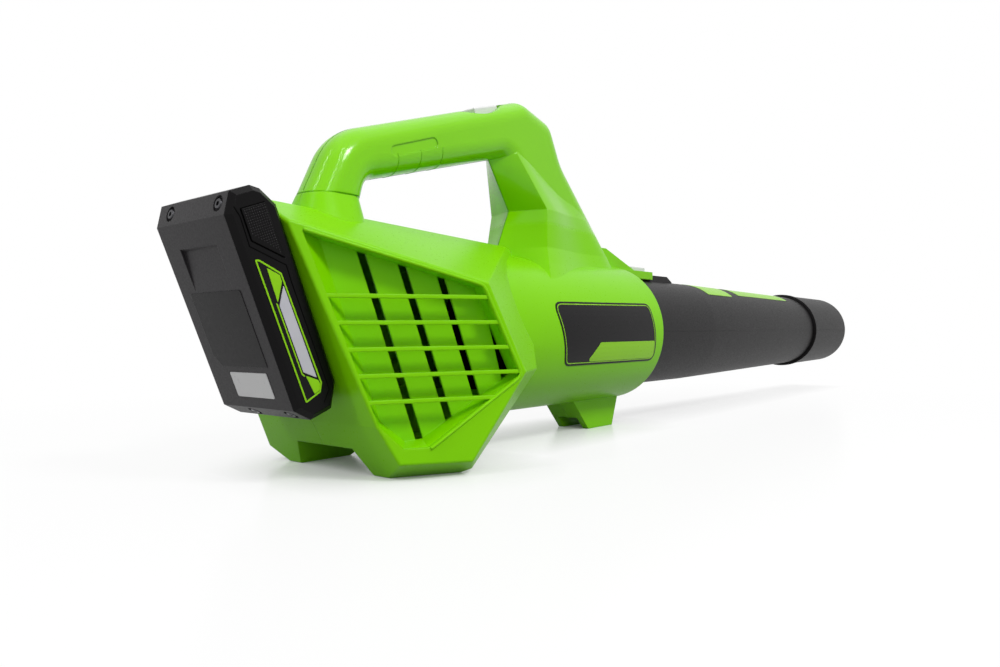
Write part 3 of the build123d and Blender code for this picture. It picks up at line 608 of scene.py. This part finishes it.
@dataclass(frozen=True)
class Patch:
    """A thin plate with rounded corners, laid on a surface.

    Attributes:
        outline: Corners in surface millimetres, in order round the plate.
        corner: Corner radius.
        low: Height of the underside over the surface.
        high: Height of the face over the surface.
        place: Turns surface millimetres and a height into a point in metres.
        grid: Longest run without a vertex, so that the plate follows a curved surface.
    """

    corner_steps: ClassVar[int] = 6
    least_corner: ClassVar[float] = 0.15

    outline: Points
    corner: float
    low: float
    high: float
    place: Placer
    grid: float = CURVED_GRID

    def rim(self, inset: float = 0.0) -> list[Vector]:
        """Rounds the corners of the outline.

        Args:
            inset: How far the rim is moved inwards.

        Returns:
            Points round the rim.
        """
        spots = [Vector(spot) for spot in self.outline]
        if sum(a.x * b.y - b.x * a.y for _, a, b in around(spots)) < 0:
            spots.reverse()
        moved = []
        for last, spot, following in around(spots):
            before = (spot - last).normalized()
            after = (following - spot).normalized()
            turn = before.x * after.y - before.y * after.x
            if abs(turn) < NEARLY_ZERO:
                moved.append(spot + Vector((-before.y, before.x)) * inset)
            else:
                moved.append(spot + (after - before) * (inset / turn))
        points = []
        radius = max(self.corner - inset, self.least_corner)
        for last, spot, following in around(moved):
            before = (last - spot).normalized()
            after = (following - spot).normalized()
            half = math.acos(max(-1.0, min(1.0, before.dot(after)))) / 2.0
            reach = radius / math.tan(half)
            start = spot + before * reach
            end = spot + after * reach
            for step in range(self.corner_steps + 1):
                share = step / self.corner_steps
                points.append(start.lerp(spot, share).lerp(spot.lerp(end, share), share))
        return points

    def plate(self) -> Shape:
        """Builds the plate as a closed shape.

        Returns:
            The closed plate.
        """
        shape = bmesh.new()
        rim = self.rim()
        shape.faces.new([shape.verts.new((spot.x, spot.y, 0.0)) for spot in rim])
        for axis, normal in enumerate((Vector((1.0, 0.0, 0.0)), Vector((0.0, 1.0, 0.0)))):
            start = min(spot[axis] for spot in rim)
            stop = max(spot[axis] for spot in rim)
            count = max(1, math.ceil((stop - start) / self.grid))
            for index in range(1, count):
                where = normal * (start + (stop - start) * index / count)
                everything = shape.verts[:] + shape.edges[:] + shape.faces[:]
                bmesh.ops.bisect_plane(shape, geom=everything, plane_co=where, plane_no=normal)
        return self._wrap(shape)

    def band(self, width: float) -> Shape:
        """Builds only a band along the rim.

        Args:
            width: Width of the band.

        Returns:
            The closed band.
        """
        shape = bmesh.new()
        rows: list[tuple[Vector, Vector]] = []
        lines = (self.rim(), self.rim(width))
        for (_, outer, outer_next), (_, inner, inner_next) in zip(*map(around, lines)):
            count = max(1, math.ceil((outer_next - outer).length / self.grid))
            for step in range(count):
                share = step / count
                rows.append((outer.lerp(outer_next, share), inner.lerp(inner_next, share)))
        rings = [[shape.verts.new((*row[side], 0.0)) for row in rows] for side in (0, 1)]
        for (_, outer, outer_next), (_, inner, inner_next) in zip(*map(around, rings)):
            shape.faces.new((outer, outer_next, inner_next, inner))
        return self._wrap(shape)

    def _wrap(self, shape: Shape) -> Shape:
        """Gives a flat shape its thickness and lays it on the surface.

        Args:
            shape: Flat faces in surface millimetres.

        Returns:
            The same shape, closed and placed.
        """
        grown = bmesh.ops.extrude_face_region(shape, geom=shape.faces[:])
        upper = {item for item in grown["geom"] if isinstance(item, bmesh.types.BMVert)}
        for vert in shape.verts:
            vert.co = self.place(vert.co.x, vert.co.y, self.high if vert in upper else self.low)
        # Extruding orders the faces differently each run, so they are put in order by place
        for index, face in enumerate(sorted(shape.faces, key=lambda face: tuple(face.calc_center_median()))):
            face.index = index
        shape.faces.sort()
        return shape


def on_cylinder(radius: float, slope: float = 0.0, slope_from: float = 0.0) -> Placer:
    """Surface of the duct or tube: first millimetres along it, then round it from the right side upwards.

    Args:
        radius: Radius of the surface.
        slope: How much the radius falls for each millimetre along the axis.
        slope_from: Where along the axis the fall starts.

    Returns:
        The placing function.
    """
    def place(along: float, round_it: float, height: float) -> Vector:
        """Point over the curved surface."""
        angle = round_it / radius
        reach = radius - slope * max(0.0, along - slope_from) + height
        return Vector((FOOT_X + along, -reach * math.cos(angle), AXIS_Z + reach * math.sin(angle))) * MM

    return place


def unrolled(outline: Points, radius: float) -> Points:
    """Corners along and in degrees round a cylinder, in surface millimetres."""
    degree = radius * math.pi / 180.0
    return tuple((along, angle * degree) for along, angle in outline)


class SubAssembly:
    """Parts that are dressed and completed together.

    Attributes:
        finishes: CAD nodes by the finish that they show.
    """

    finishes: ClassVar[dict[Finish, tuple[str, ...]]] = {}

    def dress(self) -> None:
        """Gives the CAD nodes their finishes."""
        for finish, names in self.finishes.items():
            for name in names:
                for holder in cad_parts[name].material_slots:
                    holder.material = finish.material()
                LOG.info("%s: %s", name, finish.name)

    def build(self) -> None:
        """Adds pieces to the CAD shapes; none where those are enough."""


@dataclass
class Housing(SubAssembly):
    """The lime clamshell, its louvre trays, its seams and the bare panel on its side."""

    finishes = {
        LIME: ("right_shell", "left_shell", "right_louvre", "left_louvre"),
        STEEL: ("housing_screws",),
    }
    # Side panel: corners along the duct and in degrees round it, and heights over the duct
    duct_r: float = 59.5
    panel: Points = ((148.0, 22.0), (286.0, 23.5), (294.0, -24.5), (164.0, -24.5))
    panel_corner: float = 8.0
    panel_low: float = 0.02
    panel_high: float = 0.28
    line_inset: float = 1.6
    line_width: float = 0.8
    line_corner: float = 0.2
    line_high: float = 0.4
    block: Points = ((206.0, -7.5), (288.5, -7.5), (290.6, -21.9), (192.0, -21.9))
    block_corner: float = 2.5
    # Joint of the shells: rays from the loop's middle, just beside the parting plane, and back from far out
    loop_middle: Triple = (92.0, -0.15, 176.0)
    seam_far: float = 450.0
    seam_from: float = -8.0
    seam_outer_steps: int = 196
    seam_low_z: float = 168.0
    switch_zone: Pair = (116.0, 160.0)
    seam_width: float = 0.4
    # Finger ribs: the underside of the grip as a straight line, and the sweep of each rib round it
    rib_spots: tuple[float, ...] = (43.0, 63.0, 83.0)
    rib_width: float = 0.7
    rib_from: float = -165.0
    rib_sweep: float = 150.0
    rib_steps: int = 40
    rib_far: float = 30.0
    grip_low_x: float = 29.6
    grip_low_z: float = 181.9
    grip_low_slope: float = 0.2728
    grip_half_thick: float = 16.9
    # Rims of the vents: places along and up, found on the sides by rays from outside
    vent_rim: Points = ((-52.2, 138.0), (40.0, 111.0), (41.9, 109.95), (43.2, 108.15), (63.2, 60.8),
                        (63.6, 57.5), (61.6, 54.8), (11.6, 17.7))
    vent_rim_width: float = 2.0
    vent_far: float = 200.0

    def build(self) -> None:
        """Adds the side panel, the seams, the finger ribs and the rims of the vents."""
        self.side_panel()
        self.seams()
        self.finger_ribs()
        self.vent_rims()

    def side_panel(self) -> None:
        """Lays the bare dark panel with its lime line and block on the right side of the duct."""
        panel = Patch(unrolled(self.panel, self.duct_r), self.panel_corner, self.panel_low, self.panel_high,
                      on_cylinder(self.duct_r))
        Piece("side_panel", "housing", "pack_black", LABEL_BLACK).from_shape(panel.plate())
        path = tuple((spot.x, spot.y) for spot in panel.rim(self.line_inset))
        line = replace(panel, outline=path, corner=self.line_corner, low=self.panel_high - PRINT_OVERLAP,
                       high=self.line_high)
        band = line.band(self.line_width)
        Piece("side_panel_line", "housing", "housing_green", LABEL_LIME).from_shape(band)
        block = replace(line, outline=unrolled(self.block, self.duct_r), corner=self.block_corner)
        Piece("side_panel_block", "housing", "housing_green", LABEL_LIME).from_shape(block.plate())

    def seams(self) -> None:
        """Draws the joint of the two shells round the inside and the outside of the handle."""
        shell = skin("right_shell")
        along, beside, high = self.loop_middle
        middle = Vector((FOOT_X + along, beside, high)) * MM
        switch_rear, switch_front = ((FOOT_X + edge) * MM for edge in self.switch_zone)
        inner: list[Vector] = []
        outer: list[list[Vector]] = [[]]
        for step in range(360):
            angle = math.radians(step + self.seam_from)
            heading = Vector((math.cos(angle), 0.0, math.sin(angle)))
            spot = shell.ray_cast(middle, heading)[0]
            if spot:
                inner.append(Vector((spot.x, 0.0, spot.z)))
            if step > self.seam_outer_steps:
                continue
            spot = shell.ray_cast(middle + heading * (self.seam_far * MM), -heading)[0]
            if spot is None or spot.z < self.seam_low_z * MM or switch_rear < spot.x < switch_front:
                outer.append([])
                continue
            outer[-1].append(Vector((spot.x, 0.0, spot.z)))
        inner.append(inner[0].copy())
        runs = [inner] + [run for run in outer if len(run) > 2]
        Piece("shell_seam", "housing", "housing_green", LIME_SEAM).from_lines(runs, self.seam_width)

    def finger_ribs(self) -> None:
        """Lays three thin ribs round the underside of the grip."""
        shells = skin("right_shell", "left_shell")
        lean = math.atan(self.grip_low_slope)
        up = Vector((-math.sin(lean), 0.0, math.cos(lean)))
        runs = []
        for along in self.rib_spots:
            low_z = self.grip_low_z + self.grip_low_slope * (along - self.grip_low_x)
            middle = (Vector((FOOT_X + along, 0.0, low_z)) + up * self.grip_half_thick) * MM
            run = []
            for step in range(self.rib_steps + 1):
                angle = math.radians(self.rib_from + step * self.rib_sweep / self.rib_steps)
                heading = Vector((0.0, math.cos(angle), 0.0)) + up * math.sin(angle)
                spot = shells.ray_cast(middle + heading * (self.rib_far * MM), -heading)[0]
                if spot:
                    run.append(spot)
            runs.append(run)
        Piece("finger_ribs", "housing", "housing_green", LIME).from_lines(runs, self.rib_width)

    def vent_rims(self) -> None:
        """Raises a rounded rim along the upper and front edges of both vents."""
        runs = []
        for hand, name in ((-1.0, "right_shell"), (1.0, "left_shell")):
            shell = skin(name)
            inwards = Vector((0.0, -hand, 0.0))
            starts = [Vector((FOOT_X + x, hand * self.vent_far, z)) * MM for x, z in self.vent_rim]
            runs.append([shell.ray_cast(start, inwards)[0] for start in starts])
        Piece("vent_rims", "housing", "housing_green", LIME).from_lines(runs, self.vent_rim_width, RIM_SIDES)


@dataclass
class Controls(SubAssembly):
    """The power switch on the handle and the tube's release button."""

    finishes = {
        GREY: ("power_switch", "release_button"),
        NYLON: ("switch_module",),
        STEEL: ("release_spring",),
    }


@dataclass
class AirTube(SubAssembly):
    """The black tube and nozzle."""

    finishes = {TUBE: ("blower_tube", "nozzle")}
    # Tube: straight from the duct's rim, then tapered
    tube_r: float = 49.5
    end_r: float = 43.5
    rim_x: float = 304.5
    taper_x: float = 430.0
    end_x: float = 766.0
    # Nozzle: its first and last section with their radii, and where the tube's seam stops before it
    nozzle_ends: Points = ((742.0, 47.09), (868.0, 44.5))
    tube_seam_end: float = 735.0
    seam_width: float = 0.5
    # Blocks: corners along the tube and in degrees round it, and heights over the tube
    rear_block: Points = ((452.0, 50.0), (512.0, 50.0), (520.0, 130.0), (438.0, 130.0))
    front_block: Points = ((536.0, 55.0), (690.0, 55.0), (690.0, 125.0), (536.0, 125.0))
    block_corner: float = 2.0
    block_low: float = 0.02
    block_high: float = 0.28

    def build(self) -> None:
        """Lays two plain lime blocks along the top of the tube and the mould seams along its sides."""
        slope = (self.tube_r - self.end_r) / (self.end_x - self.taper_x)
        place = on_cylinder(self.tube_r, slope, self.taper_x)
        for name, outline in (("tube_block_rear", self.rear_block), ("tube_block_front", self.front_block)):
            corners = unrolled(outline, self.tube_r)
            block = Patch(corners, self.block_corner, self.block_low, self.block_high, place)
            Piece(name, "tube", "housing_green", LABEL_LIME).from_shape(block.plate())
        runs = [[place(x, side, 0.0) for x in (self.rim_x, self.taper_x, self.tube_seam_end)]
                for side in (0.0, self.tube_r * math.pi)]
        Piece("tube_seam", "tube", "tube_black", TUBE).from_lines(runs, self.seam_width)
        runs = [[Vector((FOOT_X + x, side * r, AXIS_Z)) * MM for x, r in self.nozzle_ends]
                for side in (-1.0, 1.0)]
        Piece("nozzle_seam", "nozzle_body", "tube_black", TUBE).from_lines(runs, self.seam_width)


@dataclass
class FanUnit(SubAssembly):
    """Fan sleeve, motor, rotor and controller inside the duct and hood."""

    finishes = {
        NYLON: ("fan_sleeve", "impeller", "tail_cone", "terminal_block"),
        STEEL: ("motor", "rotor_shaft"),
        MASK: ("controller_board",),
    }


@dataclass(frozen=True)
class CoverEnd:
    """A slanted end of the pack's cover, where screws stand.

    Attributes:
        upper: Its upper edge, deep from the rear face and down it.
        lower: Its lower edge, in the same way.
        along: How far down the screws stand.
        places: Where they stand across the pack.
    """

    upper: Pair
    lower: Pair
    along: float
    places: tuple[float, ...]


@dataclass
class BatteryPack(SubAssembly):
    """The slide-on battery pack with its bare labels, screws and grip pads."""

    finishes = {
        CHARCOAL: ("pack_cover",),
        PACK_BLACK: ("pack_shell", "pack_button_right", "pack_button_left"),
        FILM: ("cells",),
        MASK: ("pack_board",),
        BRASS: ("pack_contacts",),
    }
    # Upper rear edge of the pack, its slant and half its width
    corner_x: float = -90.3
    corner_z: float = 136.7
    tilt: float = 21.2
    half: float = 38.2
    # Rear films: corners across to the left and down the rear face
    film_low: float = 0.02
    film_high: float = 0.22
    rear_film: Points = ((25.8, 33.0), (-25.7, 33.0), (-25.7, 76.7), (19.8, 76.7), (25.8, 70.0))
    rear_corner: float = 1.5
    white_film: Points = ((14.5, 80.0), (-22.0, 80.0), (-22.0, 95.0), (14.5, 95.0))
    white_corner: float = 1.2
    # Side film and what is printed on it: corners deep from the rear face and down the side
    side_film: Points = ((5.9, 19.4), (8.7, 20.6), (18.3, 30.7), (20.1, 93.7), (17.4, 98.3), (6.7, 99.9))
    side_corner: float = 1.0
    rim_width: float = 1.0
    silver_print: Points = ((17.0, 36.8), (18.1, 90.0), (11.3, 83.8), (10.8, 46.1))
    top_print: Points = ((10.9, 25.5), (16.9, 31.4), (16.8, 35.0), (10.4, 44.5))
    spine_print: Points = ((9.3, 43.6), (10.2, 45.0), (10.6, 84.1), (11.6, 85.9), (11.2, 86.6), (9.8, 84.5))
    low_print: Points = ((11.9, 86.0), (18.3, 91.4), (18.9, 94.4), (16.6, 97.2), (13.5, 97.6))
    print_corner: float = 0.4
    print_high: float = 0.34
    # Screws on the slanted ends of the cover
    cover_ends: tuple[CoverEnd, ...] = (
        CoverEnd((7.0, -16.0), (0.0, -5.6), -11.2, (-27.1, 22.4)),
        CoverEnd((0.0, 101.6), (8.0, 110.5), 106.4, (-24.5, 10.9)),
    )
    pocket_deep: float = 1.3
    screw_sizes: ClassVar[dict[str, float]] = {
        "Head Diameter": 6.4, "Head Height": 1.5, "Drive Size": 2.8, "Drive Depth": 1.1,
    }
    # Grip pads: upper rear corner deep and down, then sizes; the rear edge is the short one
    pad_corner: Pair = (9.3, -4.6)
    pad_width: float = 11.9
    pad_height: float = 25.0
    pad_short: float = 13.0
    pad_pitch: float = 1.3
    button_rise: float = 0.9
    dot_diameter: float = 0.85
    dot_height: float = 0.3
    # Joint of the two mouldings: deep and down
    seam_path: Points = ((4.9, -8.0), (6.4, -2.4), (5.9, 12.7), (22.7, 27.8), (22.4, 36.6), (23.3, 99.1),
                         (17.5, 104.5))
    seam_width: float = 0.6

    def __post_init__(self) -> None:
        """Works out the pack's own directions."""
        lean = math.radians(self.tilt)
        self.corner = Vector((FOOT_X + self.corner_x, 0.0, self.corner_z))
        self.forward = Vector((math.cos(lean), 0.0, math.sin(lean)))
        self.down = Vector((math.sin(lean), 0.0, -math.cos(lean)))

    def on_rear(self, across: float, along: float, height: float) -> Vector:
        """Point over the rear face: across to the left, down the face, out of it, in metres."""
        return (self.corner + Vector((0.0, across, 0.0)) + self.down * along - self.forward * height) * MM

    def on_side(self, hand: int) -> Placer:
        """Surface of a side: depth from the rear, down the face, out of it.

        Args:
            hand: -1 for the right side, 1 for the left side.

        Returns:
            The placing function.
        """
        def place(deep: float, along: float, height: float) -> Vector:
            """Point over the side face."""
            out = Vector((0.0, hand * (self.half + height), 0.0))
            return (self.corner + self.forward * deep + self.down * along + out) * MM

        return place

    def build(self) -> None:
        """Adds the labels, screws, grip pads and seams."""
        self.rear_labels()
        self.side_label()
        self.screws()
        self.grip_pads()
        self.side_seams()

    def rear_labels(self) -> None:
        """Lays the bare dark label and the bare white label on the rear face."""
        dark = Patch(self.rear_film, self.rear_corner, self.film_low, self.film_high, self.on_rear, FLAT_GRID)
        Piece("rear_label", "pack", "pack_black", LABEL_BLACK).from_shape(dark.plate())
        white = replace(dark, outline=self.white_film, corner=self.white_corner)
        Piece("white_label", "pack", "button_grey", LABEL_WHITE).from_shape(white.plate())

    def side_label(self) -> None:
        """Lays the bare label with its lime rim, silver field and lime ends on the right side."""
        place = self.on_side(-1)
        film = Patch(self.side_film, self.side_corner, self.film_low, self.film_high, place, FLAT_GRID)
        Piece("pack_label", "pack", "pack_black", LABEL_BLACK).from_shape(film.plate())
        rim = replace(film, low=self.film_high - PRINT_OVERLAP, high=self.print_high)
        Piece("pack_label_rim", "pack", "housing_green", LABEL_LIME).from_shape(rim.band(self.rim_width))
        silver = replace(rim, outline=self.silver_print, corner=self.print_corner)
        Piece("pack_label_silver", "pack", "button_grey", LABEL_SILVER).from_shape(silver.plate())
        limes = (("top", self.top_print), ("spine", self.spine_print), ("low", self.low_print))
        for name, outline in limes:
            lime = replace(silver, outline=outline)
            Piece(f"pack_label_{name}", "pack", "housing_green", LABEL_LIME).from_shape(lime.plate())

    def screws(self) -> None:
        """Sets four screws in the pockets on the slanted ends of the cover."""
        spots = []
        facings = []
        for end in self.cover_ends:
            (deep, along), (low_deep, low_along) = end.upper, end.lower
            share = (end.along - along) / (low_along - along)
            slope = self.forward * (low_deep - deep) + self.down * (low_along - along)
            facing = Vector((0.0, 1.0, 0.0)).cross(slope).normalized()
            middle = self.corner + self.forward * (deep + share * (low_deep - deep)) + self.down * end.along
            for across in end.places:
                spots.append((middle + Vector((0.0, across, 0.0)) - facing * self.pocket_deep) * MM)
                facings.append(facing)
        start = bpy.data.meshes.new("pack_screws_points")
        start.from_pydata(spots, [], [])
        start.attributes.new("facing", "FLOAT_VECTOR", "POINT")
        for holder, facing in zip(start.attributes["facing"].data, facings):
            holder.vector = facing
        sizes = {label: size * MM for label, size in self.screw_sizes.items()}
        Piece("pack_screws", "pack", "steel", DARK_STEEL).from_tree(screw_tree(), start, sizes)

    def grip_pads(self) -> None:
        """Covers the faces of the two side buttons with rows of small domes."""
        tree = knurl_tree()
        for hand, name in ((-1, "right"), (1, "left")):
            pad = Piece(f"grip_pad_{name}", f"pack_catch_{name}", "pack_charcoal", CHARCOAL)
            pad.from_tree(tree, bpy.data.meshes.new("pad_start"), {
                "Corner": self.on_side(hand)(*self.pad_corner, self.button_rise),
                "Across": self.forward, "Down": self.down, "Facing": (0.0, float(hand), 0.0),
                "Width": self.pad_width * MM, "Height": self.pad_height * MM,
                "Columns": round(self.pad_width / self.pad_pitch) + 1,
                "Rows": round(self.pad_height / self.pad_pitch) + 1, "Short Side": self.pad_short * MM,
                "Slope": (self.pad_height - self.pad_short) / self.pad_width,
                "Dot Diameter": self.dot_diameter * MM, "Dot Height": self.dot_height * MM,
            })

    def side_seams(self) -> None:
        """Draws the joint of the pack's two mouldings down both sides."""
        runs = [[self.on_side(hand)(deep, along, 0.0) for deep, along in self.seam_path] for hand in (-1, 1)]
        Piece("pack_seam", "pack", "pack_black", PACK_SEAM).from_lines(runs, self.seam_width)


@dataclass(frozen=True)
class Softbox:
    """A studio light that looks at the object.

    Attributes:
        name: Name of the light.
        spot: Where it stands, in metres.
        size: Width and height in metres.
        watts: Power.
    """

    name: str
    spot: Triple
    size: Pair
    watts: float

    def build(self, target: Vector) -> None:
        """Adds the light, turned to the target.

        Args:
            target: The point it looks at.
        """
        data = bpy.data.lights.new(self.name, "AREA")
        data.shape = "RECTANGLE"
        data.energy = self.watts
        data.size, data.size_y = self.size
        lamp = add_object(self.name, data)
        lamp.location = self.spot
        lamp.rotation_euler = (target - Vector(self.spot)).to_track_quat("-Z", "Y").to_euler()


@dataclass
class Studio:
    """White floor, white surround, soft light and the camera, with its places in metres."""

    target: Triple = (-0.1, 0.0, 0.1)
    lamps: tuple[Softbox, ...] = (
        Softbox("top_light", (0.0, -0.1, 1.9), (2.4, 2.0), 6.0),
        Softbox("right_key", (-0.3, -1.45, 1.5), (0.4, 0.4), 20.0),
        Softbox("left_strip", (-1.85, 0.25, 1.15), (0.03, 2.0), 10.0),
        Softbox("rear_strip", (-1.0, -1.45, 1.15), (0.03, 2.0), 9.0),
    )
    # Floor: a glow that grows to plain white away from the object, a paint under it, and the contact shadow
    floor_half: float = 6.0
    fade_spot: Triple = (-0.25, -0.05, 0.0)
    fade_reach: Pair = (0.25, 0.8)
    floor_glow: float = 0.86
    floor_bounce: float = 0.35
    floor_paint: float = 0.93
    floor_roughness: float = 0.22
    floor_shine: float = 0.2
    contact_reach: float = 0.05
    contact_samples: int = 16
    # Light of the surround from the horizon up to the given height of the view
    shade_level: float = 0.16
    sky_level: float = 0.4
    sky_top: float = 0.9
    # Camera, solved from the photograph
    camera_spot: Triple = (-0.67536, -0.38009, 0.08284)
    yaw: float = -49.39
    pitch: float = 0.09
    roll: float = -0.57
    lens: float = 27.36
    sensor: float = 36.0
    near_clip: float = 0.01

    def build(self) -> None:
        """Builds the studio."""
        bpy.context.scene.view_settings.view_transform = "Standard"
        self.floor()
        self.surround()
        for lamp in self.lamps:
            lamp.build(Vector(self.target))
        self.camera()

    def floor(self) -> None:
        """Lays the pale floor, which turns to plain white away from the object."""
        shape = bmesh.new()
        bmesh.ops.create_grid(shape, x_segments=1, y_segments=1, size=self.floor_half)
        mesh = bpy.data.meshes.new("studio_floor")
        shape.to_mesh(mesh)
        shape.free()
        paint = empty_material("studio_floor_white")
        tree = paint.node_tree
        add = partial(add_node, tree)
        spot = add("ShaderNodeTexCoord").outputs["Object"]
        reach = add("ShaderNodeVectorMath", {"operation": "DISTANCE", 0: spot, 1: self.fade_spot})
        fade = map_range(tree, reach.outputs["Value"], (self.floor_glow, 1.0), self.fade_reach, smooth=True)
        contact = {"samples": self.contact_samples, "Distance": self.contact_reach}
        near = add("ShaderNodeAmbientOcclusion", contact)
        seen = self.seen(tree)
        share = calculate(tree, "MULTIPLY", calculate(tree, "MULTIPLY", fade, near.outputs["AO"]), seen)
        matt = add("ShaderNodeBsdfPrincipled", {
            "Roughness": self.floor_roughness, "Specular IOR Level": self.floor_shine,
            "Base Color": map_range(tree, seen, (self.floor_bounce, self.floor_paint)),
        })
        glow = add("ShaderNodeEmission", {"Color": WHITE, "Strength": 1.0})
        both = add("ShaderNodeMixShader", {0: share, 1: matt.outputs["BSDF"], 2: glow.outputs["Emission"]})
        add("ShaderNodeOutputMaterial", {"Surface": both.outputs["Shader"]})
        mesh.materials.append(paint)
        ground = add_object("studio_floor", mesh)

    @staticmethod
    def seen(tree: Tree) -> Socket:
        """Tells rays that show the background from rays that only light the object.

        Args:
            tree: The tree that asks.

        Returns:
            One for camera, glossy and transmission rays, and zero for the others.
        """
        path = add_node(tree, "ShaderNodeLightPath").outputs
        first = calculate(tree, "MAXIMUM", path["Is Camera Ray"], path["Is Glossy Ray"])
        return calculate(tree, "MAXIMUM", first, path["Is Transmission Ray"])

    def surround(self) -> None:
        """Sets a white surround that the camera and the gloss see, and that lights the object less."""
        world = bpy.data.worlds.new("studio_surround")
        bpy.context.scene.world = world
        world.use_nodes = True
        tree = world.node_tree
        tree.nodes.clear()
        add = partial(add_node, tree)
        way = add("ShaderNodeTexCoord").outputs["Generated"]
        height = add("ShaderNodeSeparateXYZ", {"Vector": way}).outputs["Z"]
        soft = map_range(tree, height, (self.shade_level, self.sky_level), (0.0, self.sky_top), smooth=True)
        level = map_range(tree, self.seen(tree), (soft, 1.0))
        sky = add("ShaderNodeBackground", {"Color": WHITE, "Strength": level})
        add("ShaderNodeOutputWorld", {"Surface": sky.outputs["Background"]})

    def camera(self) -> None:
        """Sets the camera at the photograph's viewing angle."""
        yaw, pitch, roll = (math.radians(angle) for angle in (self.yaw, self.pitch, self.roll))
        right = Vector((math.cos(yaw), math.sin(yaw), 0.0))
        back = Vector((math.sin(yaw) * math.cos(pitch), -math.cos(yaw) * math.cos(pitch), math.sin(pitch)))
        up = back.cross(right)
        turned_right = right * math.cos(roll) + up * math.sin(roll)
        turned_up = up * math.cos(roll) - right * math.sin(roll)
        data = bpy.data.cameras.new("photo_camera")
        data.lens = self.lens
        data.sensor_width = self.sensor
        data.sensor_fit = "HORIZONTAL"
        data.clip_start = self.near_clip
        view = add_object("photo_camera", data)
        turn = Matrix((turned_right, turned_up, back)).transposed()
        view.matrix_world = Matrix.Translation(self.camera_spot) @ turn.to_4x4()
        bpy.context.scene.camera = view


def main() -> None:
    """Builds and dresses every sub-assembly, then the studio."""
    logging.basicConfig(level=logging.INFO, format="%(name)s: %(message)s")
    for unit in (Housing(), Controls(), AirTube(), FanUnit(), BatteryPack()):
        unit.dress()
        unit.build()
        LOG.info("%s done", type(unit).__name__)
    Studio().build()


if __name__ == "__main__":
    main()
